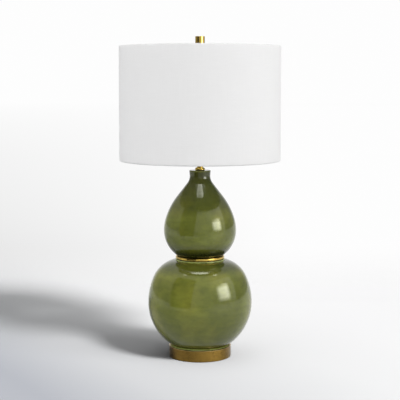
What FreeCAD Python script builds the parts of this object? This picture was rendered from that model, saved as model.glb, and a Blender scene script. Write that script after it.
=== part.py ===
"""Double gourd table lamp: two glazed ceramic gourds on a brass plinth, and a drum shade carried on a harp.

Millimetres, +Z up. The origin is on the lamp's axis, on the surface that it stands on. +Y is the lamp's
back, where the cord outlet is, and +X its right, where the switch knob is. Nearly every piece is turned about
the Z axis, so its outline is given as (radius, height) points.
"""

import FreeCAD, Part
import math
import os
from collections import namedtuple

from FreeCAD import Vector

ORIGIN = Vector(0, 0, 0)
X = Vector(1, 0, 0)
Y = Vector(0, 1, 0)
Z = Vector(0, 0, 1)
LEFT, RIGHT = -1, 1  # sides of a piece that has two
TOUCHING = 1e-6

# Heights and widths read from the outside -----------------------------------------------------------------
LAMP_TOP_Z = 711.0
SHADE_RADIUS = 178.0
SHADE_BOTTOM_Z = 438.0
SHADE_TOP_Z = 690.0
BASE_RADIUS = 69.3
BASE_TOP_Z = 25.2
WAIST_Z = 219.0  # top of the lower gourd's lip
NECK_TOP_Z = 416.5  # top of the upper gourd's collar

# Plinth ---------------------------------------------------------------------------------------------------
FELT_RADIUS = 67.0
FELT_THICKNESS = 1.5
COVER_THICKNESS = 2.0
SHELL_WALL = 1.2
SHELL_TOP_THICKNESS = 1.5
SHELL_BOTTOM_Z = 0.8
WEIGHT_RADIUS = 62.0
WEIGHT_BOTTOM_Z = 12.0
WEIGHT_RECESS_RADIUS = 15.0
WEIGHT_RECESS_TOP_Z = 18.0

# Cord outlet at the back of the plinth
OUTLET_Z = 10.8
GLAND_BORE_RADIUS = 3.6
GLAND_BODY_RADIUS = 5.0
GLAND_LIP_RADIUS = 5.6
GLAND_FLANGE_RADIUS = 7.0
GLAND_INNER_Y = 64.0
GLAND_LIP_Y = (65.0, 67.4)
GLAND_OUTER_Y = 71.6

# Threaded tube that clamps everything together, with its nuts
ROD_RADIUS = 5.0
ROD_BORE_RADIUS = 3.4
ROD_BOTTOM_Z = 11.5
ROD_TOP_Z = 460.0
ROD_HOLE_RADIUS = 5.6
NUT_ACROSS_FLATS = 14.0
BOTTOM_NUT_HEIGHT = 4.0
TOP_NUT_HEIGHT = 3.5
WASHER_RADIUS = 12.0
WASHER_THICKNESS = 1.2

# Gourds: each wall is a chain of arcs. A turn is where an arc ends, as the angle of its outward normal
# above level.
CERAMIC_WALL = 5.0
FLOOR_THICKNESS = 6.0

LOWER_EQUATOR = (115.6, 122.3)
LOWER_BELLY_RADIUS = 113.4
LOWER_FLANK_RADIUS = 138.7
LOWER_FLANK_TURN = math.radians(24.5)
LOWER_SHOULDER_RADIUS = 64.4
LOWER_FOOT_RADIUS = 66.2
LOWER_FOOT_WIDTH = 9.0
LOWER_FOOT_RECESS = 2.0
LOWER_FOOT_FILLET = 4.0
LOWER_FOOT_ROUNDING = 1.2
LOWER_LIP_RADIUS = 55.2
LOWER_LIP_STEP = 1.0
LOWER_LIP_ROUNDING = 0.8
LOWER_MOUTH_RADIUS = 40.0

UPPER_EQUATOR = (80.3, 282.9)
UPPER_BELLY_RADIUS = 68.5
UPPER_FLANK_RADIUS = 92.5
UPPER_FLANK_TURN = math.radians(16.6)
UPPER_SLOPE_RADIUS = 151.6
UPPER_SLOPE_TURN = math.radians(38.0)
UPPER_NECK_FILLET = 25.9
UPPER_NECK_RADIUS = 22.8
UPPER_COLLAR_RADIUS = 23.9
UPPER_COLLAR_ROUNDING = 1.8
UPPER_LID_THICKNESS = 5.5
UPPER_MOUTH_RADIUS = 7.0
UPPER_MOUTH_ROUNDING = 0.8

FOOT_GASKET_RADIUS = 50.0

# Waist ring between the gourds, with a gasket on each face of its plate
RING_RADIUS = 54.4
RING_TOP_Z = 226.4
RING_BEAD_WIDTH = 5.0
RING_BEAD_ROUNDING = 2.4
RING_PLATE_THICKNESS = 1.4
RING_PLATE_HOLE_RADIUS = 20.0
WAIST_GASKET_THICKNESS = 0.8
UPPER_GASKET_RADII = (30.0, 41.0)

# Neck
NECK_GASKET_THICKNESS = 0.5
NECK_CAP_RADIUS = 11.0
NECK_CAP_HEIGHT = 5.5
NECK_CAP_ROUNDING = 3.8
NECK_CAP_STEP_RADIUS = 7.0
NECK_CAP_STEP_HEIGHT = 1.2
NECK_TUBE_RADIUS = 6.5

# Harp, in the YZ plane
SADDLE_Z = 444.0
SADDLE_THICKNESS = 1.5
SADDLE_WIDTH = 12.0
SADDLE_OVERHANG = 5.0
SADDLE_CORNER = 4.0
PRONG_RADIUS = 3.0
HARP_WIRE_RADIUS = 2.0
HARP_HALF_SPAN = 32.0
HARP_JOINT_Z = 463.2
HARP_BULGE_Y = 53.0
HARP_CROWN_Z = 675.0  # the shoulder that the shade's hub rests on
HARP_CROWN_COVER = 0.8
CROWN_RADIUS = 8.0
CROWN_HEIGHT = 5.4
STUD_RADIUS = 3.1
STUD_TOP_Z = 687.5
SLEEVE_BOTTOM_Z = 456.0
SLEEVE_LENGTH = 14.0
SLEEVE_RADIUS = 3.3
SLEEVE_CLEARANCE = 0.08

# Lampholder
CAP_BOTTOM_Z = 449.0
CAP_HUB_RADIUS = 7.6
CAP_HUB_TOP_Z = 457.0
CAP_CONE_TOP_Z = 466.0
CAP_RIM_Z = 473.0
CAP_WALL = 0.8
SET_SCREW_RADIUS = 1.5
SET_SCREW_Z = 453.0
SHELL_RADIUS = 16.0
SHELL_THICKNESS = 0.5
SHELL_Z = (467.6, 512.5)
LINER_GAP = 0.1
BODY_RADIUS = 14.6
BODY_Z = (468.0, 487.0)
TERMINAL_Z = 473.5
TERMINAL_HEAD_RADIUS = 3.2
TERMINAL_HEAD_Y = (11.4, 13.2)
TERMINAL_SHANK_RADIUS = 1.4
TERMINAL_SHANK_Y = 6.5
TERMINAL_POCKET_Y = 11.2
TERMINAL_POCKET_RADIUS = 3.8
THREAD_PITCH = 3.63
THREAD_CREST_RADIUS = 13.05  # of the bulb's cap
HOLDER_THREAD_CLEARANCE = 0.35
HOLDER_THREAD_DEPTH = 0.5
HOLDER_THREAD_TURNS = 6
SHEET_THICKNESS = 0.4
CONTACT_RADIUS = 0.8
CONTACT_GAP = 0.3

# Switch, with its axis along X
SWITCH_Z = 477.5
SHAFT_RADIUS = 2.0
SHAFT_CLEARANCE = 0.06
SHAFT_X = (4.0, 33.0)
SHAFT_WAY_RADIUS = 3.0
KNOB_RADIUS = 6.0
KNOB_NECK_RADIUS = 4.2
KNOB_X = (18.5, 36.5)
KNOB_FLUTES = 12
KNOB_FLUTE_RADIUS = 0.9

# Leads and their joints in the plinth
LEAD_RADIUS = 1.2
LEAD_OFFSET = 1.4
LEAD_TOP = (12.9, 470.3)  # (distance from the axis, height) under a terminal screw
LEAD_RUN_Z = 8.2
LEAD_LOW_TURN_Z = 5.2
WIRE_NUT_RADIUS = 3.6
WIRE_NUT_TAPER = 1.2
WIRE_NUT_X = 9.0
WIRE_NUT_Y = (34.0, 50.0)

# Bulb
BULB_TIP_Z = 489.4
BULB_TIP_RADIUS = 4.4
BULB_BUTTON_HEIGHT = 3.2
BULB_THREAD_DEPTH = 0.8
BULB_THREAD_BOTTOM_Z = 493.6
BULB_THREAD_TURNS = 5
BULB_COLLAR_HEIGHT = 3.6
BULB_RADIUS = 30.0
BULB_CENTRE_Z = 566.0
BULB_NECK_FILLET = 38.0
BULB_WALL = 1.0
BULB_STEM_OVERLAP = 2.4

# Shade
FABRIC_THICKNESS = 0.6
LINER_THICKNESS = 0.6
RING_WIRE_RADIUS = 2.0
HEM_DEPTH = 10.0
HUB_RADIUS = 13.0
HUB_HOLE_RADIUS = 5.5
HUB_THICKNESS = 1.5
ARM_RADIUS = 1.8
ARM_COUNT = 3
ARM_OVERLAP = 2.0
ARM_RISE_R = (34.0, 56.0)  # where each arm bends up to the level of the top ring
ARM_BEND = 16.0

# Finial
FINIAL_RADIUS = 10.5
BUSH_RADIUS = 5.4
BUSH_LENGTH = 14.0
BUSH_CLEARANCE = 0.05
STUD_CLEARANCE = 0.1


# Outlines and solids --------------------------------------------------------------------------------------
def rounded_edges(points, radii):
    """Straight edges between points, with a tangent arc of the given radius at each inner one."""
    edges = []
    start = points[0]
    for before, corner, after, radius in zip(points, points[1:], points[2:], radii):
        to_before = (before - corner).normalize()
        to_after = (after - corner).normalize()
        half_angle = to_before.getAngle(to_after) / 2
        if radius <= 0:
            edges.append(Part.LineSegment(start, corner).toShape())
            start = corner
            continue
        run = radius / math.tan(half_angle)
        first = corner + to_before * run
        last = corner + to_after * run
        inward = (to_before + to_after).normalize()
        middle = corner + inward * (radius / math.sin(half_angle) - radius)
        if (first - start).Length > TOUCHING:
            edges.append(Part.LineSegment(start, first).toShape())
        edges.append(Part.Arc(first, middle, last).toShape())
        start = last
    edges.append(Part.LineSegment(start, points[-1]).toShape())
    return edges


def outline(*points):
    """Open outline edges. Each point is (radius, height) or (radius, height, rounding of that corner)."""
    corners = [Vector(point[0], 0, point[1]) for point in points]
    roundings = [point[2] if len(point) > 2 else 0 for point in points]
    return rounded_edges(corners, roundings[1:-1])


def revolved(edges):
    """The solid that a closed outline sweeps out about the Z axis."""
    face = Part.Face(Part.Wire(Part.__sortEdges__(edges)))
    return face.revolve(ORIGIN, Z, 360)


def turned(*points):
    """A turned solid through outline points. The edge from the last point to the first is a plain one."""
    middle = [(a + b) / 2 for a, b in zip(points[0][:2], points[-1][:2])]
    return revolved(outline(middle, *points, middle))


def tube(inner, outer, bottom, top):
    """A plain ring about the Z axis."""
    return turned((inner, bottom), (outer, bottom), (outer, top), (inner, top))


def disc(radius, bottom, top):
    """A plain cylinder about the Z axis."""
    return Part.makeCylinder(radius, top - bottom, Vector(0, 0, bottom))


def rod_between(radius, start, end):
    """A straight round rod from one point to another."""
    return Part.makeCylinder(radius, (end - start).Length, start, end - start)


def bent_rod(points, bends, radius):
    """A round rod along straight runs, with a bend at each inner point."""
    path = Part.Wire(rounded_edges(points, bends))
    end = Part.Wire(Part.makeCircle(radius, points[0], points[1] - points[0]))
    return path.makePipeShell([end], True, False)


def hexagonal_nut(bottom, top):
    """A nut on the threaded tube."""
    corner_radius = NUT_ACROSS_FLATS / math.sqrt(3)
    turns = [math.radians(60 * i) for i in range(7)]
    ring = [Vector(corner_radius * math.cos(a), corner_radius * math.sin(a), bottom) for a in turns]
    nut = Part.Face(Part.makePolygon(ring)).extrude(Z * (top - bottom))
    return nut.cut(disc(ROD_RADIUS, bottom, top))


# Gourd walls ----------------------------------------------------------------------------------------------
Arc = namedtuple("Arc", "centre radius first last bulge")
OUTWARD, HOLLOW = 1, -1


def arc_point(arc, angle, inset=0.0):
    """A point of an arc, or of the arc moved inward, where the outward normal has this angle above level."""
    reach = arc.radius * arc.bulge - inset
    return Vector(arc.centre[0] + reach * math.cos(angle), 0, arc.centre[1] + reach * math.sin(angle))


def wall_edges(arcs, inset=0.0):
    """Edges along arcs moved inward, with tangent lines between those that don't meet."""
    edges = []
    for arc in arcs:
        angles = (arc.first, (arc.first + arc.last) / 2, arc.last)
        ends = [arc_point(arc, angle, inset) for angle in angles]
        if edges and (ends[0] - last_point(edges)).Length > TOUCHING:
            edges.append(Part.LineSegment(last_point(edges), ends[0]).toShape())
        edges.append(Part.Arc(*ends).toShape())
    return edges


def next_arc(arc, radius, last):
    """A further arc, of another radius, that is tangent to this one where it ends."""
    shift = arc.radius - radius
    centre = (arc.centre[0] + shift * math.cos(arc.last), arc.centre[1] + shift * math.sin(arc.last))
    return Arc(centre, radius, arc.last, last, OUTWARD)


def inner_wall_edges(arcs, floor_z):
    """Edges of the inside of a wall, from a floor up."""
    belly = arcs[0]
    floor_angle = math.asin((floor_z - belly.centre[1]) / (belly.radius - CERAMIC_WALL))
    return wall_edges([belly._replace(first=floor_angle), *arcs[1:]], CERAMIC_WALL)


def first_point(edges):
    return edges[0].Vertexes[0].Point


def last_point(edges):
    return edges[-1].Vertexes[-1].Point


def circles_at(shape, radius, height):
    """The round edges of a turned solid with a radius and height."""
    centre = Vector(0, 0, height)
    length = 2 * math.pi * radius
    near = [edge for edge in shape.Edges if abs(edge.Length - length) < 0.01]
    return [edge for edge in near if (edge.CenterOfMass - centre).Length < 0.01]


# Plinth ---------------------------------------------------------------------------------------------------
def base_shell():
    """The brass drum: a top plate and a rolled wall, open below, with a hole for the cord gland."""
    inside = BASE_RADIUS - SHELL_WALL
    plate_bottom = BASE_TOP_Z - SHELL_TOP_THICKNESS
    wall_rounding, rim_rounding = 0.8, 0.4
    shell = turned(
        (ROD_HOLE_RADIUS, plate_bottom),
        (inside, plate_bottom),
        (inside, SHELL_BOTTOM_Z),
        (BASE_RADIUS, SHELL_BOTTOM_Z, rim_rounding),
        (BASE_RADIUS, BASE_TOP_Z, wall_rounding),
        (ROD_HOLE_RADIUS, BASE_TOP_Z),
    )
    return shell.cut(rod_along_y(GLAND_BODY_RADIUS, GLAND_INNER_Y, GLAND_OUTER_Y))


def base_weight():
    """The cast disc under the top plate, recessed below for the nut and washer."""
    top = BASE_TOP_Z - SHELL_TOP_THICKNESS
    bottom_rounding, top_rounding = 2.0, 1.0
    return turned(
        (ROD_HOLE_RADIUS, top),
        (ROD_HOLE_RADIUS, WEIGHT_RECESS_TOP_Z),
        (WEIGHT_RECESS_RADIUS, WEIGHT_RECESS_TOP_Z),
        (WEIGHT_RECESS_RADIUS, WEIGHT_BOTTOM_Z),
        (WEIGHT_RADIUS, WEIGHT_BOTTOM_Z, bottom_rounding),
        (WEIGHT_RADIUS, top, top_rounding),
    )


def rod_along_y(radius, first_y, last_y):
    return rod_between(radius, Vector(0, first_y, OUTLET_Z), Vector(0, last_y, OUTLET_Z))


def cord_gland():
    """The bush that the supply cord passes through: a flange outside the wall and a snap lip inside it."""
    body = rod_along_y(GLAND_BODY_RADIUS, GLAND_INNER_Y, GLAND_OUTER_Y)
    flange = rod_along_y(GLAND_FLANGE_RADIUS, BASE_RADIUS, GLAND_OUTER_Y)
    snap_lip = rod_along_y(GLAND_LIP_RADIUS, *GLAND_LIP_Y)
    bore = rod_along_y(GLAND_BORE_RADIUS, GLAND_INNER_Y, GLAND_OUTER_Y)
    return body.fuse(flange).fuse(snap_lip).removeSplitter().cut(bore)


def plinth():
    cover_top = FELT_THICKNESS + COVER_THICKNESS
    return {
        "felt_pad": disc(FELT_RADIUS, 0, FELT_THICKNESS),
        "base_cover": disc(BASE_RADIUS - SHELL_WALL, FELT_THICKNESS, cover_top),
        "base_shell": base_shell(),
        "base_weight": base_weight(),
        "cord_gland": cord_gland(),
    }


def clamping():
    """The threaded tube, with a nut and washer in the plinth and a nut on the harp's saddle."""
    washer_bottom = WEIGHT_RECESS_TOP_Z - WASHER_THICKNESS
    top_nut_bottom = SADDLE_Z + SADDLE_THICKNESS
    return {
        "threaded_rod": tube(ROD_BORE_RADIUS, ROD_RADIUS, ROD_BOTTOM_Z, ROD_TOP_Z),
        "rod_bottom_washer": tube(ROD_RADIUS, WASHER_RADIUS, washer_bottom, WEIGHT_RECESS_TOP_Z),
        "rod_bottom_nut": hexagonal_nut(washer_bottom - BOTTOM_NUT_HEIGHT, washer_bottom),
        "rod_top_nut": hexagonal_nut(top_nut_bottom, top_nut_bottom + TOP_NUT_HEIGHT),
    }


# Gourds and waist -----------------------------------------------------------------------------------------
def lower_wall():
    """Arcs of the lower gourd's outside, from its foot up to its lip."""
    radius, height = LOWER_EQUATOR
    belly_centre = (radius - LOWER_BELLY_RADIUS, height)
    foot_angle = -math.acos((LOWER_FOOT_RADIUS - belly_centre[0]) / LOWER_BELLY_RADIUS)
    belly = Arc(belly_centre, LOWER_BELLY_RADIUS, foot_angle, 0, OUTWARD)
    flank = next_arc(belly, LOWER_FLANK_RADIUS, LOWER_FLANK_TURN)
    shoulder = next_arc(flank, LOWER_SHOULDER_RADIUS, LOWER_FLANK_TURN)
    lip_reach = LOWER_LIP_RADIUS - LOWER_LIP_STEP - shoulder.centre[0]
    lip_angle = math.acos(lip_reach / LOWER_SHOULDER_RADIUS)
    return [belly, flank, shoulder._replace(last=lip_angle)]


def lower_gourd():
    """A round ceramic pot: a short foot, a belly, a full shoulder and a low lip under the waist ring."""
    outside = wall_edges(lower_wall())
    foot = first_point(outside)
    lip = last_point(outside)
    recess_z = BASE_TOP_Z + LOWER_FOOT_RECESS
    recess_radius = LOWER_FOOT_RADIUS - LOWER_FOOT_WIDTH
    floor_z = recess_z + FLOOR_THICKNESS
    inside = inner_wall_edges(lower_wall(), floor_z)
    floor_edge = first_point(inside)
    mouth_edge = last_point(inside)

    underside = outline(
        (foot.x, foot.z),
        (LOWER_FOOT_RADIUS, BASE_TOP_Z, LOWER_FOOT_ROUNDING),
        (recess_radius, BASE_TOP_Z),
        (recess_radius, recess_z),
        (ROD_HOLE_RADIUS, recess_z),
        (ROD_HOLE_RADIUS, floor_z),
        (floor_edge.x, floor_z),
    )
    mouth = outline(
        (mouth_edge.x, mouth_edge.z),
        (LOWER_MOUTH_RADIUS, mouth_edge.z),
        (LOWER_MOUTH_RADIUS, WAIST_Z),
        (LOWER_LIP_RADIUS, WAIST_Z, LOWER_LIP_ROUNDING),
        (LOWER_LIP_RADIUS, lip.z),
        (lip.x, lip.z),
    )
    pot = revolved(outside + underside + inside + mouth)
    return pot.makeFillet(LOWER_FOOT_FILLET, circles_at(pot, LOWER_FOOT_RADIUS, foot.z))


def upper_wall():
    """Arcs of the upper gourd's outside, from foot to neck, with a straight stretch under the neck."""
    radius, height = UPPER_EQUATOR
    foot_z = WAIST_Z + RING_PLATE_THICKNESS + 2 * WAIST_GASKET_THICKNESS
    foot_angle = math.asin((foot_z - height) / UPPER_BELLY_RADIUS)
    belly = Arc((radius - UPPER_BELLY_RADIUS, height), UPPER_BELLY_RADIUS, foot_angle, 0, OUTWARD)
    flank = next_arc(belly, UPPER_FLANK_RADIUS, UPPER_FLANK_TURN)
    slope = next_arc(flank, UPPER_SLOPE_RADIUS, UPPER_SLOPE_TURN)

    slope_top = arc_point(slope, UPPER_SLOPE_TURN)
    neck_x = UPPER_NECK_RADIUS + UPPER_NECK_FILLET
    neck_start_x = neck_x - UPPER_NECK_FILLET * math.cos(UPPER_SLOPE_TURN)
    straight_rise = (slope_top.x - neck_start_x) / math.tan(UPPER_SLOPE_TURN)
    neck_z = slope_top.z + straight_rise + UPPER_NECK_FILLET * math.sin(UPPER_SLOPE_TURN)
    neck = Arc((neck_x, neck_z), UPPER_NECK_FILLET, UPPER_SLOPE_TURN, 0, HOLLOW)
    return [belly, flank, slope, neck]


def upper_gourd():
    """A pear-shaped ceramic pot with a straight slope and a short, slightly flared collar."""
    outside = wall_edges(upper_wall())
    foot = first_point(outside)
    neck = last_point(outside)
    floor_z = foot.z + FLOOR_THICKNESS
    inside = inner_wall_edges(upper_wall(), floor_z)
    floor_edge = first_point(inside)
    inner_neck = last_point(inside)
    lid_z = NECK_TOP_Z - UPPER_LID_THICKNESS

    collar = outline(
        (neck.x, neck.z),
        (UPPER_COLLAR_RADIUS, NECK_TOP_Z, UPPER_COLLAR_ROUNDING),
        (UPPER_MOUTH_RADIUS, NECK_TOP_Z, UPPER_MOUTH_ROUNDING),
        (UPPER_MOUTH_RADIUS, lid_z),
        (inner_neck.x, lid_z),
        (inner_neck.x, inner_neck.z),
    )
    floor = outline(
        (floor_edge.x, floor_z),
        (ROD_HOLE_RADIUS, floor_z),
        (ROD_HOLE_RADIUS, foot.z),
        (foot.x, foot.z),
    )
    return revolved(outside + collar + inside + floor)


def waist_ring():
    """The brass ring between the gourds: a bead, and a plate inside it that the upper gourd stands on."""
    plate_bottom = WAIST_Z + WAIST_GASKET_THICKNESS
    plate_top = plate_bottom + RING_PLATE_THICKNESS
    bead_inner = RING_RADIUS - RING_BEAD_WIDTH
    return turned(
        (RING_PLATE_HOLE_RADIUS, plate_bottom),
        (RING_RADIUS, plate_bottom, RING_BEAD_ROUNDING),
        (RING_RADIUS, RING_TOP_Z, RING_BEAD_ROUNDING),
        (bead_inner, RING_TOP_Z, RING_BEAD_ROUNDING),
        (bead_inner, plate_top),
        (RING_PLATE_HOLE_RADIUS, plate_top),
    )


def gourds():
    lower_gasket_radii = (LOWER_MOUTH_RADIUS + 1.0, RING_RADIUS - RING_BEAD_WIDTH / 2)
    plate_bottom = WAIST_Z + WAIST_GASKET_THICKNESS
    plate_top = plate_bottom + RING_PLATE_THICKNESS
    foot_gasket_top = BASE_TOP_Z + LOWER_FOOT_RECESS
    return {
        "foot_gasket": tube(ROD_HOLE_RADIUS, FOOT_GASKET_RADIUS, BASE_TOP_Z, foot_gasket_top),
        "lower_gourd": lower_gourd(),
        "waist_gasket_lower": tube(*lower_gasket_radii, WAIST_Z, plate_bottom),
        "waist_ring": waist_ring(),
        "waist_gasket_upper": tube(*UPPER_GASKET_RADII, plate_top, plate_top + WAIST_GASKET_THICKNESS),
        "upper_gourd": upper_gourd(),
    }


def neck():
    """The small domed cap on the collar, and the tube that carries the harp's saddle."""
    cap_bottom = NECK_TOP_Z + NECK_GASKET_THICKNESS
    dome_top = cap_bottom + NECK_CAP_HEIGHT
    cap_top = dome_top + NECK_CAP_STEP_HEIGHT
    bottom_rounding, step_rounding = 1.0, 0.3
    cap = turned(
        (ROD_RADIUS, cap_bottom),
        (NECK_CAP_RADIUS, cap_bottom, bottom_rounding),
        (NECK_CAP_RADIUS, dome_top, NECK_CAP_ROUNDING),
        (NECK_CAP_STEP_RADIUS, dome_top),
        (NECK_CAP_STEP_RADIUS, cap_top, step_rounding),
        (ROD_RADIUS, cap_top),
    )
    return {
        "neck_gasket": tube(UPPER_MOUTH_RADIUS, NECK_CAP_RADIUS - bottom_rounding, NECK_TOP_Z, cap_bottom),
        "neck_cap": cap,
        "neck_tube": tube(ROD_RADIUS, NECK_TUBE_RADIUS, cap_top, SADDLE_Z),
    }


# Harp -----------------------------------------------------------------------------------------------------
def harp_wire():
    """One bent wire, from leg to leg over the bulb."""
    crown_z = HARP_CROWN_Z - HARP_WIRE_RADIUS - HARP_CROWN_COVER
    right_half = [
        (HARP_HALF_SPAN, HARP_JOINT_Z, 0),
        (HARP_HALF_SPAN, 493.0, 28.0),
        (HARP_BULGE_Y, 533.0, 45.0),
        (HARP_BULGE_Y, 612.0, 60.0),
        (31.0, 657.0, 30.0),
        (11.0, crown_z, 14.0),
    ]
    left_half = [(-y, z, bend) for y, z, bend in reversed(right_half)]
    route = right_half + left_half
    points = [Vector(0, y, z) for y, z, _ in route]
    bends = [bend for _, _, bend in route[1:-1]]
    return bent_rod(points, bends, HARP_WIRE_RADIUS)


def harp_saddle():
    """The bracket under the lampholder: a strip with a stepped prong at each end for a leg to stand on."""
    half_length = HARP_HALF_SPAN + SADDLE_OVERHANG
    corner = Vector(-SADDLE_WIDTH / 2, -half_length, SADDLE_Z)
    strip = Part.makeBox(SADDLE_WIDTH, 2 * half_length, SADDLE_THICKNESS, corner)
    upright = [edge for edge in strip.Edges if edge.BoundBox.ZLength > SADDLE_THICKNESS / 2]
    saddle = strip.makeFillet(SADDLE_CORNER, upright)
    for side in (LEFT, RIGHT):
        foot = Vector(0, side * HARP_HALF_SPAN, SADDLE_Z)
        shoulder = foot + Z * (SLEEVE_BOTTOM_Z - SADDLE_Z)
        tip = foot + Z * (HARP_JOINT_Z - SADDLE_Z)
        saddle = saddle.fuse(rod_between(PRONG_RADIUS, foot, shoulder))
        saddle = saddle.fuse(rod_between(HARP_WIRE_RADIUS, foot, tip))
    return saddle.removeSplitter().cut(disc(ROD_RADIUS, SADDLE_Z, SADDLE_Z + SADDLE_THICKNESS))


def harp_sleeve(side):
    """The sleeve that drops over the joint of leg and prong, and slides up the leg to free the harp."""
    bore_radius = HARP_WIRE_RADIUS + SLEEVE_CLEARANCE
    top = SLEEVE_BOTTOM_Z + SLEEVE_LENGTH
    bottom_rounding, top_rounding = 0.4, 1.0
    sleeve = turned(
        (bore_radius, SLEEVE_BOTTOM_Z),
        (SLEEVE_RADIUS, SLEEVE_BOTTOM_Z, bottom_rounding),
        (SLEEVE_RADIUS, top, top_rounding),
        (bore_radius, top),
    )
    sleeve.translate(Y * side * HARP_HALF_SPAN)
    return sleeve


def harp_stud(wire):
    """The shoulder crimped on the wire's crown, and the threaded stud on it."""
    bottom = HARP_CROWN_Z - CROWN_HEIGHT
    rounding = 0.6
    stud = turned(
        (0, bottom),
        (CROWN_RADIUS, bottom, rounding),
        (CROWN_RADIUS, HARP_CROWN_Z, rounding),
        (STUD_RADIUS, HARP_CROWN_Z),
        (STUD_RADIUS, STUD_TOP_Z, rounding),
        (0, STUD_TOP_Z),
    )
    return stud.cut(wire)


def harp():
    wire = harp_wire()
    return {
        "harp_saddle": harp_saddle(),
        "harp_wire": wire,
        "harp_stud": harp_stud(wire),
        "harp_sleeve_left": harp_sleeve(LEFT),
        "harp_sleeve_right": harp_sleeve(RIGHT),
    }


# Lampholder -----------------------------------------------------------------------------------------------
def rolled_thread(crest, trough, bottom, turns):
    """The wavy side of a rolled thread as arcs from bottom to top, one wave for each turn."""
    quarter = THREAD_PITCH / 4
    middle = (crest + trough) / 2
    edges = []
    for turn in range(turns):
        start = bottom + turn * THREAD_PITCH
        for z, reach in ((start, crest), (start + 2 * quarter, trough)):
            swing = [Vector(middle, 0, z), Vector(reach, 0, z + quarter), Vector(middle, 0, z + 2 * quarter)]
            edges.append(Part.Arc(*swing).toShape())
    return edges


def socket_cap():
    """The cup that screws on the threaded tube and takes the shell in its rim."""
    rim_radius = SHELL_RADIUS + CAP_WALL
    inner_hub_top = CAP_HUB_TOP_Z + CAP_WALL / 2
    hub_rounding, waist_bend, rim_bend, inner_bend = 0.6, 2.0, 3.0, 2.2
    return turned(
        (ROD_RADIUS, CAP_BOTTOM_Z),
        (CAP_HUB_RADIUS, CAP_BOTTOM_Z, hub_rounding),
        (CAP_HUB_RADIUS, CAP_HUB_TOP_Z, waist_bend),
        (rim_radius, CAP_CONE_TOP_Z, rim_bend),
        (rim_radius, CAP_RIM_Z),
        (SHELL_RADIUS, CAP_RIM_Z),
        (SHELL_RADIUS, CAP_CONE_TOP_Z + CAP_WALL / 2, inner_bend),
        (CAP_HUB_RADIUS - CAP_WALL, inner_hub_top),
        (ROD_RADIUS, inner_hub_top),
    )


def socket_body():
    """The insulating block, with a pocket for each terminal screw and a bore for the switch's shaft."""
    bottom, top = BODY_Z
    pocket_depth = BODY_RADIUS - TERMINAL_POCKET_Y
    bore_start = Vector(SHAFT_X[0] - 0.5, 0, SWITCH_Z)
    body = disc(BODY_RADIUS, bottom, top)
    body = body.cut(rod_between(SHAFT_RADIUS + SHAFT_CLEARANCE, bore_start, bore_start + X * BODY_RADIUS))
    for side in (LEFT, RIGHT):
        pocket_start = Vector(0, side * TERMINAL_POCKET_Y, TERMINAL_Z)
        pocket_end = Vector(0, side * BODY_RADIUS, TERMINAL_Z)
        lead_way = Part.makeBox(2 * TERMINAL_POCKET_RADIUS, pocket_depth, TERMINAL_Z - bottom)
        lead_way.translate(Vector(-TERMINAL_POCKET_RADIUS, TERMINAL_POCKET_Y, bottom))
        if side == LEFT:
            lead_way.rotate(ORIGIN, Z, 180)
        body = body.cut(rod_between(TERMINAL_POCKET_RADIUS, pocket_start, pocket_end)).cut(lead_way)
        body = body.cut(terminal_shank(side))
    return body


def terminal_shank(side):
    inner = Vector(0, side * TERMINAL_SHANK_Y, TERMINAL_Z)
    outer = Vector(0, side * TERMINAL_HEAD_Y[0], TERMINAL_Z)
    return rod_between(TERMINAL_SHANK_RADIUS, inner, outer)


def terminal_screw(side):
    """A slotted screw that clamps a lead."""
    inner, outer = (Vector(0, side * y, TERMINAL_Z) for y in TERMINAL_HEAD_Y)
    head = rod_between(TERMINAL_HEAD_RADIUS, inner, outer)
    slot_width = 0.8
    slot_length = 3 * TERMINAL_HEAD_RADIUS
    slot = Part.makeBox(slot_width, slot_width, slot_length)
    slot.translate(outer - Vector(slot_width / 2, slot_width / 2, slot_length / 2))
    return head.fuse(terminal_shank(side)).removeSplitter().cut(slot)


def socket_screw_shell():
    """The threaded sheet shell that takes the bulb, with a foot turned in on the insulating block."""
    trough = THREAD_CREST_RADIUS + HOLDER_THREAD_CLEARANCE
    crest = trough + HOLDER_THREAD_DEPTH
    middle = (crest + trough) / 2
    foot_radius = 8.0
    foot_z = BODY_Z[1]
    bottom = foot_z + 2 * SHEET_THICKNESS
    top = bottom + HOLDER_THREAD_TURNS * THREAD_PITCH
    inner = rolled_thread(crest, trough, bottom, HOLDER_THREAD_TURNS)
    outer = rolled_thread(crest + SHEET_THICKNESS, trough + SHEET_THICKNESS, bottom, HOLDER_THREAD_TURNS)
    rim = outline((middle, top), (middle + SHEET_THICKNESS, top))
    foot = outline(
        (middle + SHEET_THICKNESS, bottom),
        (middle + SHEET_THICKNESS, foot_z),
        (foot_radius, foot_z),
        (foot_radius, foot_z + SHEET_THICKNESS),
        (middle, foot_z + SHEET_THICKNESS),
        (middle, bottom),
    )
    return revolved(rim + inner + outer + foot)


def socket_contact():
    """The sprung tongue under the bulb's tip, on a rivet."""
    rivet_radius = 1.2
    bottom = BODY_Z[1]
    low = bottom + CONTACT_RADIUS
    high = BULB_TIP_Z - CONTACT_GAP - CONTACT_RADIUS
    spring = [Vector(-4.5, 0, low), Vector(-1.0, 0, low), Vector(2.0, 0, high)]
    tongue = bent_rod(spring, [1.5], CONTACT_RADIUS)
    rivet = rod_between(rivet_radius, Vector(-3.0, 0, bottom), Vector(-3.0, 0, low))
    return tongue.fuse(rivet).removeSplitter()


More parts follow.
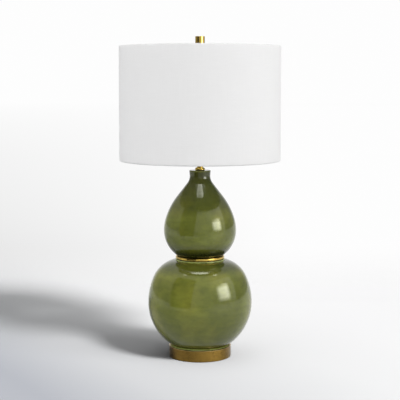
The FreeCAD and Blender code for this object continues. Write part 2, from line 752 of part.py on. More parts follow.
def lampholder():
    shell_bottom, shell_top = SHELL_Z
    shell_inner = SHELL_RADIUS - SHELL_THICKNESS
    liner_inner = BODY_RADIUS + LINER_GAP
    liner_top = shell_top - 1.0
    shaft_way = rod_between(SHAFT_WAY_RADIUS, Vector(0, 0, SWITCH_Z), Vector(KNOB_X[0], 0, SWITCH_Z))
    screw_head_y = CAP_HUB_RADIUS + SET_SCREW_RADIUS
    screw_tip = Vector(0, ROD_RADIUS, SET_SCREW_Z)
    set_screw = rod_between(SET_SCREW_RADIUS, screw_tip, Vector(0, screw_head_y, SET_SCREW_Z))
    return {
        "socket_cap": socket_cap().cut(set_screw),
        "cap_set_screw": set_screw,
        "socket_shell": tube(shell_inner, SHELL_RADIUS, shell_bottom, shell_top).cut(shaft_way),
        "socket_liner": tube(liner_inner, shell_inner, shell_bottom, liner_top).cut(shaft_way),
        "socket_body": socket_body(),
        "terminal_screws": Part.makeCompound([terminal_screw(LEFT), terminal_screw(RIGHT)]),
        "socket_screw_shell": socket_screw_shell(),
        "socket_contact": socket_contact(),
    }


# Switch ---------------------------------------------------------------------------------------------------
def switch():
    """The turn knob on its shaft. Both are turned about Z and then laid along X."""
    shaft = disc(SHAFT_RADIUS, *SHAFT_X)
    knob = switch_knob().cut(shaft)
    for piece in (shaft, knob):
        piece.rotate(ORIGIN, Y, 90)
        piece.translate(Z * SWITCH_Z)
    return {"switch_shaft": shaft, "switch_knob": knob}


def switch_knob():
    """A fluted knob with a narrow neck towards the lampholder, standing along Z."""
    start, end = KNOB_X
    neck_length, shoulder_length, flute_start = 3.0, 2.0, 7.0
    neck_rounding, shoulder_rounding, end_rounding = 0.4, 1.0, 1.6
    knob = turned(
        (0, start),
        (KNOB_NECK_RADIUS, start, neck_rounding),
        (KNOB_NECK_RADIUS, start + neck_length),
        (KNOB_RADIUS, start + neck_length + shoulder_length, shoulder_rounding),
        (KNOB_RADIUS, end, end_rounding),
        (0, end),
    )
    flute_circle = KNOB_RADIUS + KNOB_FLUTE_RADIUS / 3
    for i in range(KNOB_FLUTES):
        turn = 2 * math.pi * i / KNOB_FLUTES
        low = Vector(flute_circle * math.cos(turn), flute_circle * math.sin(turn), start + flute_start)
        high = Vector(low.x, low.y, end + 1.0)
        knob = knob.cut(rod_between(KNOB_FLUTE_RADIUS, low, high))
    return knob


# Leads ----------------------------------------------------------------------------------------------------
def lead(side, turn_z):
    """A wire from its terminal down the threaded tube, and out at a height to its joint in the plinth."""
    top_y, top_z = LEAD_TOP
    terminal_bend, tube_bend, joint_bend = 2.2, 4.6, 5.0
    points = [
        Vector(0, side * top_y, top_z),
        Vector(0, side * top_y, top_z - 5.0),
        Vector(0, side * LEAD_OFFSET, top_z - 8.1),
        Vector(0, side * LEAD_OFFSET, turn_z),
        Vector(0, 13.0, turn_z),
        Vector(side * WIRE_NUT_X, 24.0, LEAD_RUN_Z),
        Vector(side * WIRE_NUT_X, WIRE_NUT_Y[0], LEAD_RUN_Z),
    ]
    return bent_rod(points, [terminal_bend, terminal_bend, tube_bend, joint_bend, joint_bend], LEAD_RADIUS)


def wire_nut(side):
    """The tapered cap on a joint of two wires. It is turned about Z and then laid along Y."""
    start, end = WIRE_NUT_Y
    length = end - start
    mouth_rounding = 0.6
    nut = turned(
        (0, 0),
        (WIRE_NUT_RADIUS, 0, mouth_rounding),
        (WIRE_NUT_RADIUS - WIRE_NUT_TAPER, length, WIRE_NUT_TAPER),
        (0, length),
    )
    nut.rotate(ORIGIN, X, -90)
    nut.translate(Vector(side * WIRE_NUT_X, start, LEAD_RUN_Z))
    return nut


def wiring():
    return {
        "lead_live": lead(RIGHT, LEAD_RUN_Z),
        "lead_neutral": lead(LEFT, LEAD_LOW_TURN_Z),
        "wire_nuts": Part.makeCompound([wire_nut(LEFT), wire_nut(RIGHT)]),
    }


# Bulb -----------------------------------------------------------------------------------------------------
def bulb_cap(cap_top):
    """The rolled metal cap: a turned-in foot, a thread and a plain collar round the glass."""
    crest = THREAD_CREST_RADIUS
    trough = crest - BULB_THREAD_DEPTH
    middle = (crest + trough) / 2
    thread_top = BULB_THREAD_BOTTOM_Z + BULB_THREAD_TURNS * THREAD_PITCH
    collar_bottom = thread_top + 2 * SHEET_THICKNESS
    foot_radius = 10.2
    foot_z = BULB_TIP_Z + 2.6
    thread = (BULB_THREAD_BOTTOM_Z, BULB_THREAD_TURNS)
    outer = rolled_thread(crest, trough, *thread)
    inner = rolled_thread(crest - SHEET_THICKNESS, trough - SHEET_THICKNESS, *thread)
    collar = outline(
        (middle, thread_top),
        (crest, collar_bottom),
        (crest, cap_top),
        (crest - SHEET_THICKNESS, cap_top),
        (crest - SHEET_THICKNESS, collar_bottom),
        (middle - SHEET_THICKNESS, thread_top),
    )
    foot = outline(
        (middle, BULB_THREAD_BOTTOM_Z),
        (foot_radius, foot_z),
        (foot_radius - SHEET_THICKNESS, foot_z + SHEET_THICKNESS),
        (middle - SHEET_THICKNESS, BULB_THREAD_BOTTOM_Z),
    )
    return revolved(outer + inner + collar + foot)


def bulb_globe(cap_top):
    """The glass: a ball that runs through a hollow neck into its stem, open below inside the cap."""
    stem_radius = THREAD_CREST_RADIUS - SHEET_THICKNESS
    stem_bottom = cap_top - BULB_STEM_OVERLAP
    centre_distance = BULB_RADIUS + BULB_NECK_FILLET
    neck_x = stem_radius + BULB_NECK_FILLET
    neck_drop = math.sqrt(centre_distance**2 - neck_x**2)
    join_angle = -math.atan2(neck_drop, neck_x)
    neck = Arc((neck_x, BULB_CENTRE_Z - neck_drop), BULB_NECK_FILLET, 0, join_angle, HOLLOW)
    ball = Arc((0, BULB_CENTRE_Z), BULB_RADIUS, join_angle, math.pi / 2, OUTWARD)
    outside = wall_edges([neck, ball])
    inside = wall_edges([neck, ball], BULB_WALL)
    stem = outline(
        (stem_radius - BULB_WALL, first_point(inside).z),
        (stem_radius - BULB_WALL, stem_bottom),
        (stem_radius, stem_bottom),
        (stem_radius, first_point(outside).z),
    )
    crown = outline((0, BULB_CENTRE_Z + BULB_RADIUS - BULB_WALL), (0, BULB_CENTRE_Z + BULB_RADIUS))
    return revolved(outside + inside + stem + crown)


def bulb():
    cap_top = BULB_THREAD_BOTTOM_Z + BULB_THREAD_TURNS * THREAD_PITCH + BULB_COLLAR_HEIGHT
    button_top = BULB_TIP_Z + BULB_BUTTON_HEIGHT
    insulator_radius = 9.6
    contact = turned(
        (0, BULB_TIP_Z),
        (BULB_TIP_RADIUS - 1.0, BULB_TIP_Z, 0.8),
        (BULB_TIP_RADIUS, BULB_TIP_Z + 1.2),
        (BULB_TIP_RADIUS, button_top),
        (0, button_top),
    )
    insulator = turned(
        (BULB_TIP_RADIUS, BULB_TIP_Z + 1.0, 0.4),
        (insulator_radius, BULB_TIP_Z + 2.6),
        (insulator_radius - SHEET_THICKNESS, button_top),
        (BULB_TIP_RADIUS, button_top),
    )
    return {
        "bulb_globe": bulb_globe(cap_top),
        "bulb_cap": bulb_cap(cap_top),
        "bulb_insulator": insulator,
        "bulb_contact": contact,
    }


# Shade ----------------------------------------------------------------------------------------------------
def shade_hem(edge_z, inward):
    """The fabric turned over a ring wire and down inside it. inward is -1 at the top rim, 1 at the bottom."""
    outer = SHADE_RADIUS - FABRIC_THICKNESS
    wire_side = outer - LINER_THICKNESS - 2 * RING_WIRE_RADIUS
    fold_z = edge_z + inward * FABRIC_THICKNESS
    end_z = edge_z + inward * HEM_DEPTH
    return turned(
        (wire_side, fold_z),
        (wire_side, end_z),
        (wire_side - FABRIC_THICKNESS, end_z),
        (wire_side - FABRIC_THICKNESS, edge_z),
        (outer, edge_z),
        (outer, fold_z),
    )


def spider_arm(turn, ring_radius, ring_z, hub, ring):
    """A bent wire from the hub out to the top ring, at a turn in degrees from +X."""
    hub_z = HARP_CROWN_Z + HUB_THICKNESS / 2
    points = [
        Vector(HUB_RADIUS - ARM_OVERLAP, 0, hub_z),
        Vector(ARM_RISE_R[0], 0, hub_z),
        Vector(ARM_RISE_R[1], 0, ring_z),
        Vector(ring_radius, 0, ring_z),
    ]
    arm = bent_rod(points, [ARM_BEND, ARM_BEND], ARM_RADIUS).cut(hub).cut(ring)
    arm.rotate(ORIGIN, Z, turn)
    return arm


def shade():
    """A drum of fabric on a stiff liner, held round by a wire at each rim and hung from a three-armed hub."""
    liner_outer = SHADE_RADIUS - FABRIC_THICKNESS
    liner_inner = liner_outer - LINER_THICKNESS
    ring_radius = liner_inner - RING_WIRE_RADIUS
    ring_inset = FABRIC_THICKNESS + RING_WIRE_RADIUS
    top_ring_z = SHADE_TOP_Z - ring_inset
    top_ring = Part.makeTorus(ring_radius, RING_WIRE_RADIUS, Z * top_ring_z)
    bottom_ring = Part.makeTorus(ring_radius, RING_WIRE_RADIUS, Z * (SHADE_BOTTOM_Z + ring_inset))
    hub = tube(HUB_HOLE_RADIUS, HUB_RADIUS, HARP_CROWN_Z, HARP_CROWN_Z + HUB_THICKNESS)
    turns = [90 + 360 * i / ARM_COUNT for i in range(ARM_COUNT)]
    arms = [spider_arm(turn, ring_radius, top_ring_z, hub, top_ring) for turn in turns]
    top_hem = shade_hem(SHADE_TOP_Z, -1)
    for arm in arms:
        top_hem = top_hem.cut(arm)
    liner_z = (SHADE_BOTTOM_Z + FABRIC_THICKNESS, SHADE_TOP_Z - FABRIC_THICKNESS)
    return {
        "shade_fabric": tube(liner_outer, SHADE_RADIUS, SHADE_BOTTOM_Z, SHADE_TOP_Z),
        "shade_liner": tube(liner_inner, liner_outer, *liner_z),
        "shade_top_ring": top_ring,
        "shade_bottom_ring": bottom_ring,
        "shade_top_hem": top_hem,
        "shade_bottom_hem": shade_hem(SHADE_BOTTOM_Z, 1),
        "spider_hub": hub,
        "spider_arms": Part.makeCompound(arms),
    }


# Finial ---------------------------------------------------------------------------------------------------
def finial():
    """A plain cylinder with a threaded bush in it, screwed down on the harp's stud."""
    bottom = HARP_CROWN_Z + HUB_THICKNESS
    bush_top = bottom + BUSH_LENGTH
    bore_radius = BUSH_RADIUS + BUSH_CLEARANCE
    bore_top = bush_top + BUSH_CLEARANCE
    bottom_rounding, top_rounding = 0.5, 0.6
    knob = turned(
        (bore_radius, bottom),
        (FINIAL_RADIUS, bottom, bottom_rounding),
        (FINIAL_RADIUS, LAMP_TOP_Z, top_rounding),
        (0, LAMP_TOP_Z),
        (0, bore_top),
        (bore_radius, bore_top),
    )
    return {
        "finial_knob": knob,
        "finial_insert": tube(STUD_RADIUS + STUD_CLEARANCE, BUSH_RADIUS, bottom, bush_top),
    }


def check_and_write(name, shape):
    """Writes a node, as one solid or as a group of them, once they are all sound."""
    solids = shape.Solids
    if not solids or not all(solid.isValid() and solid.Volume > 0 for solid in solids):
        raise ValueError(f"{name} isn't sound")
    (solids[0] if len(solids) == 1 else shape).exportStep(f"parts/{name}.step")
    print(f"{name}: {len(solids)} solid(s), {sum(solid.Volume for solid in solids) / 1000:.2f} cm3")


def main():
    os.makedirs("parts", exist_ok=True)
    groups = (plinth, clamping, gourds, neck, harp, lampholder, switch, wiring, bulb, shade, finial)
    for group in groups:
        for name, shape in group().items():
            check_and_write(name, shape)


main()
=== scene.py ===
"""Dresses the double gourd table lamp: fabric shade, felt, surface finishes, floor, lights and camera."""

import math

import bpy
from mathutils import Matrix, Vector


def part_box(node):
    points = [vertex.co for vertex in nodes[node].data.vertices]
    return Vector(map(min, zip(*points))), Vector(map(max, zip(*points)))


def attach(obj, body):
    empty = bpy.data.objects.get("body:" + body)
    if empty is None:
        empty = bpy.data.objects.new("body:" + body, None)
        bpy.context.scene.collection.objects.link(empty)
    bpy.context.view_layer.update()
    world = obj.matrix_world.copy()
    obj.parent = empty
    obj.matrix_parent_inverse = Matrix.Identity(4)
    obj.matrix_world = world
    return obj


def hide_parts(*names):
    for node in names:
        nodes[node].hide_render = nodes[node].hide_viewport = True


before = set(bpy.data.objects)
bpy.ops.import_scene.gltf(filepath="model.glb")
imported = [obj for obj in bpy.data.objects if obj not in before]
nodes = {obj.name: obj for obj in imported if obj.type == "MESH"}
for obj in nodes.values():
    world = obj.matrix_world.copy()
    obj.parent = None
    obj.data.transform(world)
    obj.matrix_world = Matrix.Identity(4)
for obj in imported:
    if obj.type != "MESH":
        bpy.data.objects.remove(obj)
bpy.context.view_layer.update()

MM = 0.001


# Shader graphs --------------------------------------------------------------------------------------------
class Graph:
    """The shader nodes of one material or world."""

    def __init__(self, owner, shader="Principled BSDF", coordinates="Object"):
        owner.use_nodes = True
        self.owner = owner
        self.tree = owner.node_tree
        self.shader = self.tree.nodes[shader]
        self.place = self.add("ShaderNodeTexCoord").outputs[coordinates]

    def add(self, kind, inputs=None, **settings):
        node = self.tree.nodes.new(kind)
        for key, value in settings.items():
            setattr(node, key, value)
        for socket, value in (inputs or {}).items():
            self.feed(node.inputs[socket], value)
        return node

    def feed(self, socket, value):
        """Links a socket's value, or sets it where it is a plain one."""
        if isinstance(value, bpy.types.NodeSocket):
            self.tree.links.new(value, socket)
        elif isinstance(value, tuple) and len(value) == 3 and socket.type == "RGBA":
            socket.default_value = (*value, 1)
        else:
            socket.default_value = value

    def shade(self, **inputs):
        for socket, value in inputs.items():
            self.feed(self.shader.inputs[socket.replace("_", " ")], value)
        return self.owner

    def show(self, finished):
        """Makes this shader the material's surface."""
        self.feed(self.tree.nodes["Material Output"].inputs["Surface"], finished)

    def blend(self, share, first, second):
        """Two shaders together, with that share of the second."""
        return self.add("ShaderNodeMixShader", {0: share, 1: first, 2: second}).outputs[0]

    def math(self, operation, first, second=0.0):
        node = self.add("ShaderNodeMath", {0: first, 1: second}, operation=operation)
        return node.outputs[0]

    def spread(self, value, low, high, start=0.0, end=1.0, ease="LINEAR"):
        """The value's run from low to high, as a run from start to end."""
        inputs = {"Value": value, "From Min": low, "From Max": high, "To Min": start, "To Max": end}
        return self.add("ShaderNodeMapRange", inputs, interpolation_type=ease).outputs[0]

    def stretched(self, vector, x, y, z):
        return self.add("ShaderNodeVectorMath", {0: vector, 1: (x, y, z)}, operation="MULTIPLY").outputs[0]

    def noise(self, size, vector=None, detail=3.0, roughness=0.5, distortion=0.0):
        """Soft random variation from 0 to 1, of that feature size in metres."""
        inputs = {"Vector": vector or self.place, "Scale": 1 / size, "Detail": detail}
        inputs.update({"Roughness": roughness, "Distortion": distortion})
        return self.add("ShaderNodeTexNoise", inputs).outputs["Fac"]

    def cells(self, size, vector=None, feature="F1"):
        inputs = {"Vector": vector or self.place, "Scale": 1 / size}
        return self.add("ShaderNodeTexVoronoi", inputs, feature=feature).outputs["Distance"]

    def round_the_axis(self):
        """The turn round the lamp's axis in radians, and the distance from it and the height in metres."""
        x, y, z = self.parts(self.place)
        turn = self.math("ARCTAN2", y, x)
        radius = self.math("SQRT", self.math("ADD", self.math("MULTIPLY", x, x), self.math("MULTIPLY", y, y)))
        return turn, radius, z

    def parts(self, vector):
        return self.add("ShaderNodeSeparateXYZ", {0: vector}).outputs[:3]

    def joined(self, x, y, z):
        return self.add("ShaderNodeCombineXYZ", {0: x, 1: y, 2: z}).outputs[0]

    def mix(self, factor, first, second):
        node = self.add("ShaderNodeMix", data_type="RGBA")
        for index, value in ((0, factor), (6, first), (7, second)):
            self.feed(node.inputs[index], value)
        return node.outputs[2]

    def ramp(self, factor, stops, colours=True):
        """The colour, or grey level, at each place along a run."""
        node = self.add("ShaderNodeValToRGB", {"Fac": factor})
        elements = node.color_ramp.elements
        while len(elements) < len(stops):
            elements.new(0.5)
        for element, (place, value) in zip(elements, stops):
            element.position = place
            element.color = (*value, 1) if colours else (value, value, value, 1)
        return node.outputs["Color"]

    def bump(self, height, depth, below=None):
        """Relief of that depth in metres, on top of the relief below."""
        inputs = {"Height": height, "Distance": depth, "Strength": 1.0}
        if below is not None:
            inputs["Normal"] = below
        return self.add("ShaderNodeBump", inputs).outputs["Normal"]


def surface(name, **constants):
    """A new material's graph. Values that are the same all over go straight on its shader."""
    g = Graph(bpy.data.materials.new(name))
    g.shade(**constants)
    return g


# Finishes -------------------------------------------------------------------------------------------------
# the darkest green: deep glaze in the brush strokes and specks, and the colour of the painted shade bands
GLAZE_DEEP_AND_SHADE = (0.012, 0.016, 0.002)
GLAZE_GREEN = (0.160, 0.182, 0.026)
GLAZE_OLIVE = (0.230, 0.228, 0.031)
GLAZE_THIN = (0.32, 0.38, 0.12)
GLAZE_DRAW = (0.685, -1.055, 0.865)  # where in the noise the clouds and patches are drawn from
PLINTH_RIM_HEIGHTS = (23.6 * MM, 25.0 * MM)
PLINTH_RIM_RADII = (67.6 * MM, 68.8 * MM)
GLAZE_RUN_AND_SHADE = (
    # height in mm, share: above 0.5 the glaze has run thin at an edge, below 0.5 is painted shade
    # the painted shade lies just above the foot, on both sides of the waist ring and on the upper gourd's top
    (25.2, 0.95), (27.4, 0.8), (29.4, 0.22), (38.0, 0.40), (60.0, 0.5),
    (190.0, 0.5), (203.0, 0.24), (216.4, 0.22), (217.8, 0.9), (219.4, 0.85),
    (222.0, 0.0), (236.0, 0.02), (247.0, 0.3), (262.0, 0.5), (316.0, 0.5), (338.0, 0.28), (412.0, 0.22),
    (415.0, 0.4), (416.2, 0.62),
)


def glaze():
    """Lustrous green glaze over stoneware: cloudy, brushed on, thin at its edges, with bands of painted
    shade.
    """
    g = surface("green_glaze", IOR=1.5, Metallic=0.08)
    drawn = g.add("ShaderNodeVectorMath", {0: g.place, 1: GLAZE_DRAW}, operation="ADD").outputs[0]
    clouds = g.noise(0.07, drawn, detail=3, roughness=0.5)
    patches = g.noise(0.075, g.stretched(drawn, 1.3, 1.3, 0.9), detail=3, roughness=0.45)
    brushed = g.noise(0.020, g.stretched(g.place, 0.8, 0.8, 1.9), detail=5, roughness=0.6)
    specks = g.noise(0.0014, detail=2)
    green = g.mix(g.spread(clouds, 0.36, 0.64), tuple(0.72 * c for c in GLAZE_GREEN), GLAZE_GREEN)
    green = g.mix(g.spread(patches, 0.46, 0.68, 0, 0.6), green, GLAZE_OLIVE)
    green = g.mix(g.spread(brushed, 0.34, 0.62, 0.22, 0), green, GLAZE_DEEP_AND_SHADE)
    green = g.mix(g.spread(specks, 0.68, 0.8, 0, 0.25), green, GLAZE_DEEP_AND_SHADE)
    z = g.parts(g.place)[2]
    low, high = GLAZE_RUN_AND_SHADE[0][0], GLAZE_RUN_AND_SHADE[-1][0]
    uneven = g.spread(g.noise(0.012, detail=3), 0.3, 0.7, -0.9 * MM, 0.9 * MM)
    run = g.spread(g.math("ADD", z, uneven), low * MM, high * MM)
    stops = [((height - low) / (high - low), share) for height, share in GLAZE_RUN_AND_SHADE]
    share = g.ramp(run, stops, colours=False)
    # below a share of 0.5: painted shade in the dark green; above it: thin glaze
    colour = g.mix(g.spread(share, 0.5, 0.0), green, GLAZE_DEEP_AND_SHADE)
    colour = g.mix(g.spread(share, 0.5, 1.0), colour, GLAZE_THIN)
    relief = g.bump(brushed, 0.00005)
    gloss = g.spread(g.noise(0.03, detail=3), 0.3, 0.7, 0.06, 0.11)
    return g.shade(Base_Color=colour, Roughness=gloss, Normal=relief)


def lathe_lines(g, fine, reach):
    """Fine lines left by turning: noise that is long round the axis and short along the profile."""
    turn, radius, z = g.round_the_axis()
    along = g.math("ADD", z, radius)
    across = g.math("MULTIPLY", turn, fine / reach)
    return g.noise(fine, g.joined(across, along, 0.0), detail=4, roughness=0.65)


def toned_brass():
    """Brushed brass with a dark toned lacquer, and a painted highlight along the top of its rim."""
    g = surface("antique_brass", Metallic=1.0, Anisotropic=0.6, Anisotropic_Rotation=0.25,
                Coat_Weight=0.05, Coat_Roughness=0.25)
    lines = lathe_lines(g, fine=0.00035, reach=0.35)
    broad = lathe_lines(g, fine=0.0022, reach=0.8)
    blotches = g.noise(0.018, detail=4, roughness=0.6, distortion=0.5)
    dark, pale = (0.135, 0.078, 0.014), (0.225, 0.135, 0.026)
    bright, groove, painted_rim_highlight = (0.30, 0.19, 0.045), (0.085, 0.048, 0.010), (0.62, 0.46, 0.22)
    colour = g.mix(g.spread(blotches, 0.32, 0.68), dark, pale)
    colour = g.mix(g.spread(lines, 0.38, 0.62, 0, 0.55), colour, bright)
    colour = g.mix(g.spread(broad, 0.55, 0.75, 0, 0.5), colour, groove)
    radius, z = g.round_the_axis()[1:]
    # painted highlight: paler brass along the top of the plinth's rim
    rim_highlight_mask = g.math("MULTIPLY", g.spread(z, *PLINTH_RIM_HEIGHTS), g.spread(radius, *PLINTH_RIM_RADII))
    colour = g.mix(g.math("MULTIPLY", rim_highlight_mask, 0.8), colour, painted_rim_highlight)
    relief = g.bump(lines, 0.00003)
    gloss = g.spread(g.math("ADD", blotches, lines), 0.7, 1.3, 0.24, 0.36)
    turned = g.add("ShaderNodeTangent", direction_type="RADIAL", axis="Z").outputs[0]
    return g.shade(Base_Color=colour, Roughness=gloss, Normal=relief, Tangent=turned)


def polished_brass():
    """Warm lacquered brass, polished, with faint turning lines and darker handling marks."""
    g = surface("polished_brass", Metallic=1.0)
    lines = lathe_lines(g, fine=0.0003, reach=0.25)
    marks = g.noise(0.006, detail=5, roughness=0.65, distortion=0.4)
    handled, clean, turned = (0.50, 0.335, 0.060), (0.68, 0.485, 0.110), (0.62, 0.45, 0.16)
    colour = g.mix(g.spread(marks, 0.35, 0.65), handled, clean)
    colour = g.mix(g.spread(lines, 0.4, 0.65, 0, 0.25), colour, turned)
    gloss = g.spread(marks, 0.3, 0.7, 0.09, 0.16)
    return g.shade(Base_Color=colour, Roughness=gloss, Normal=g.bump(lines, 0.000012))


def plated_wire():
    """Brass-plated steel wire with drawn lines and dull spots."""
    g = surface("harp_metal", Metallic=1.0)
    drawn = g.noise(0.0006, g.stretched(g.place, 1.0, 1.0, 0.12), detail=3)
    spots = g.noise(0.0045, detail=4, roughness=0.6)
    dull, bright = (0.34, 0.23, 0.075), (0.50, 0.36, 0.13)
    colour = g.mix(g.spread(spots, 0.35, 0.65), dull, bright)
    gloss = g.spread(drawn, 0.3, 0.7, 0.18, 0.34)
    return g.shade(Base_Color=colour, Roughness=gloss, Normal=g.bump(drawn, 0.00001))


def bare_metal(name, dark, pale, rough, grain):
    """Plated or bare metal with short scratches and a cloudy tarnish."""
    g = surface(name, Metallic=1.0)
    clouds = g.noise(grain * 12, detail=4, roughness=0.6)
    scratches = g.noise(grain, g.stretched(g.place, 1.0, 0.2, 1.0), detail=3, roughness=0.7)
    colour = g.mix(g.spread(clouds, 0.3, 0.7), dark, pale)
    gloss = g.spread(scratches, 0.3, 0.7, rough - 0.07, rough + 0.09)
    return g.shade(Base_Color=colour, Roughness=gloss, Normal=g.bump(scratches, grain * 0.03))


def cast_iron():
    """Sand-cast iron, dark and pitted, with a trace of rust."""
    g = surface("cast_weight", Metallic=0.6)
    sand = g.noise(0.0009, detail=4, roughness=0.7)
    pits = g.spread(g.cells(0.0035), 0.0, 0.45)
    rust = g.noise(0.014, detail=5, roughness=0.65)
    dark, pale, rusty = (0.045, 0.044, 0.043), (0.12, 0.118, 0.115), (0.16, 0.07, 0.032)
    colour = g.mix(sand, dark, pale)
    colour = g.mix(g.spread(rust, 0.56, 0.72, 0, 0.7), colour, rusty)
    relief = g.bump(sand, 0.0002, g.bump(pits, 0.00025))
    return g.shade(Base_Color=colour, Roughness=g.spread(sand, 0.3, 0.7, 0.5, 0.75), Normal=relief)


def moulded(name, dark, pale, rough, grain, relief_depth, **constants):
    """Moulded plastic, rubber or glazed insulator: slight colour drift and a fine moulded grain."""
    g = surface(name, **constants)
    drift = g.noise(grain * 14, detail=3)
    fine = g.noise(grain, detail=3, roughness=0.6)
    colour = g.mix(g.spread(drift, 0.3, 0.7), dark, pale)
    gloss = g.spread(fine, 0.3, 0.7, rough - 0.06, rough + 0.08)
    return g.shade(Base_Color=colour, Roughness=gloss, Normal=g.bump(fine, relief_depth))


def fibrous(name, dark, pale, fibre, relief_depth, **constants):
    """Felt, card or board: crossed fibres two ways, with darker clumps."""
    g = surface(name, **constants)
    one_way = g.noise(fibre, g.stretched(g.place, 1.0, 0.22, 1.0), detail=4, roughness=0.7, distortion=0.8)
    other_way = g.noise(fibre, g.stretched(g.place, 0.22, 1.0, 1.0), detail=4, roughness=0.7, distortion=0.8)
    crossed = g.math("MAXIMUM", one_way, other_way)
    clumps = g.noise(fibre * 22, detail=3)
    colour = g.mix(g.spread(crossed, 0.42, 0.7), dark, pale)
    colour = g.mix(g.spread(clumps, 0.55, 0.75, 0, 0.4), colour, dark)
    gloss = g.spread(clumps, 0.3, 0.7, 0.84, 0.96)
    return g.shade(Base_Color=colour, Roughness=gloss, Normal=g.bump(crossed, relief_depth))


SHADE_RADIUS = 178 * MM
THREAD_PITCH = 0.62 * MM
THREADS_ROUND = round(2 * math.pi * SHADE_RADIUS / THREAD_PITCH)


def rolled_out(g, turn, z, turn_scale, z_scale, draw=0.0):
    """A place on the drum's sheet, scaled each way. Draw takes it to another part of the noise."""
    return g.joined(g.math("MULTIPLY", turn, turn_scale), g.math("MULTIPLY", z, z_scale), draw)


def lit_through(g, colour, share):
    """Lets part of the light through a thin sheet."""
    sheer = g.add("ShaderNodeBsdfTranslucent", {"Color": colour}).outputs[0]
    g.show(g.blend(share, g.shader.outputs[0], sheer))


def shade_cloth():
    """Plain-woven off-white cloth, with thicker threads here and there."""
    g = surface("white_fabric", Sheen_Weight=0.12, Sheen_Roughness=0.5, Specular_IOR_Level=0.25)
    turn, radius, z = g.round_the_axis()
    across = g.math("MULTIPLY", turn, THREADS_ROUND / 2)
    along = g.math("MULTIPLY", g.math("ADD", z, radius), math.pi / THREAD_PITCH)
    weave = g.math("ABSOLUTE", g.math("MULTIPLY", g.math("SINE", across), g.math("SINE", along)))
    slub_along = g.noise(1.0, rolled_out(g, turn, z, 4.0, 900.0), detail=2)
    slub_up = g.noise(1.0, rolled_out(g, turn, z, 170.0, 14.0, draw=7.0), detail=2)
    slubs = g.math("MAXIMUM", slub_along, slub_up)
    drift = g.noise(0.07, detail=2)
    thread, thick_thread = (0.89, 0.888, 0.884), (0.93, 0.928, 0.925)
    gap, aged = (0.86, 0.858, 0.852), (0.885, 0.882, 0.876)
    cloth = g.mix(g.spread(slubs, 0.45, 0.75), thread, thick_thread)
    cloth = g.mix(g.spread(weave, 0.0, 0.35, 0.5, 0.0), cloth, gap)
    cloth = g.mix(g.spread(drift, 0.35, 0.65, 0, 0.25), cloth, aged)
    relief = g.bump(weave, 0.00012)
    relief = g.bump(slubs, 0.00010, relief)
    lit_through(g, cloth, 0.10)
    return g.shade(Base_Color=cloth, Roughness=g.spread(slubs, 0.3, 0.7, 0.82, 0.92), Normal=relief)


def shade_liner():
    """Milky sheet plastic, rolled, with a faint ripple."""
    g = surface("shade_plastic", IOR=1.5, Specular_IOR_Level=0.3)
    turn, _, z = g.round_the_axis()
    ripple = g.noise(0.02, rolled_out(g, turn, z, 0.18, 0.2), detail=2)
    dust = g.noise(0.0022, detail=4, roughness=0.7)
    clean, dusty = (0.66, 0.655, 0.635), (0.58, 0.575, 0.555)
    sheet = g.mix(g.spread(dust, 0.4, 0.75), clean, dusty)
    lit_through(g, sheet, 0.15)
    gloss = g.spread(ripple, 0.3, 0.7, 0.4, 0.52)
    return g.shade(Base_Color=sheet, Roughness=gloss, Normal=g.bump(ripple, 0.0002))


def frosted_glass():
    """An opal bulb: white coating inside thin glass."""
    g = surface("bulb_glass", IOR=1.5, Coat_Weight=0.6, Coat_Roughness=0.03, Subsurface_Weight=0.2,
                Subsurface_Radius=(0.004, 0.004, 0.004))
    coating = g.noise(0.009, detail=4, roughness=0.6)
    thin, thick = (0.80, 0.80, 0.785), (0.87, 0.87, 0.86)
    colour = g.mix(g.spread(coating, 0.3, 0.7), thin, thick)
    gloss = g.spread(g.noise(0.02), 0.3, 0.7, 0.2, 0.3)
    return g.shade(Base_Color=colour, Roughness=gloss, Normal=g.bump(coating, 0.00003))


FINISHES = {
    # CAD material: its finish, with the dark and the pale colour, then roughness, grain and relief in metres
    "green_glaze": glaze(),
    "antique_brass": toned_brass(),
    "polished_brass": polished_brass(),
    "harp_metal": plated_wire(),
    "zinc_steel": bare_metal("zinc_steel", (0.42, 0.42, 0.41), (0.58, 0.58, 0.57), 0.34, 0.0008),
    "aluminium": bare_metal("aluminium", (0.60, 0.60, 0.60), (0.76, 0.76, 0.76), 0.28, 0.0007),
    "cast_weight": cast_iron(),
    "black_plastic": moulded(
        "black_plastic", (0.014, 0.014, 0.015), (0.028, 0.028, 0.03), 0.34, 0.0006, 0.00003),
    "insulator": moulded("insulator", (0.022, 0.020, 0.018), (0.045, 0.040, 0.036), 0.42, 0.0008, 0.00004),
    "rubber": moulded("rubber", (0.016, 0.016, 0.016), (0.032, 0.032, 0.031), 0.7, 0.0005, 0.00006),
    "lead_white": moulded("lead_white", (0.72, 0.71, 0.68), (0.82, 0.81, 0.79), 0.4, 0.0006, 0.00002),
    "lead_black": moulded("lead_black", (0.012, 0.012, 0.013), (0.03, 0.03, 0.03), 0.4, 0.0006, 0.00002),
    "liner_card": fibrous("liner_card", (0.26, 0.20, 0.13), (0.42, 0.34, 0.23), 0.0009, 0.00006),
    "grey_board": fibrous("grey_board", (0.17, 0.17, 0.165), (0.31, 0.31, 0.30), 0.0010, 0.00007),
    "felt": fibrous("felt", (0.028, 0.031, 0.022), (0.075, 0.082, 0.058), 0.0009, 0.0003, Sheen_Weight=0.3),
    "white_fabric": shade_cloth(),
    "shade_plastic": shade_liner(),
    "bulb_glass": frosted_glass(),
}


def dress_cad_nodes():
    for node in nodes.values():
        for slot in node.material_slots:
            slot.material = FINISHES[slot.material.name.split(".")[0]]


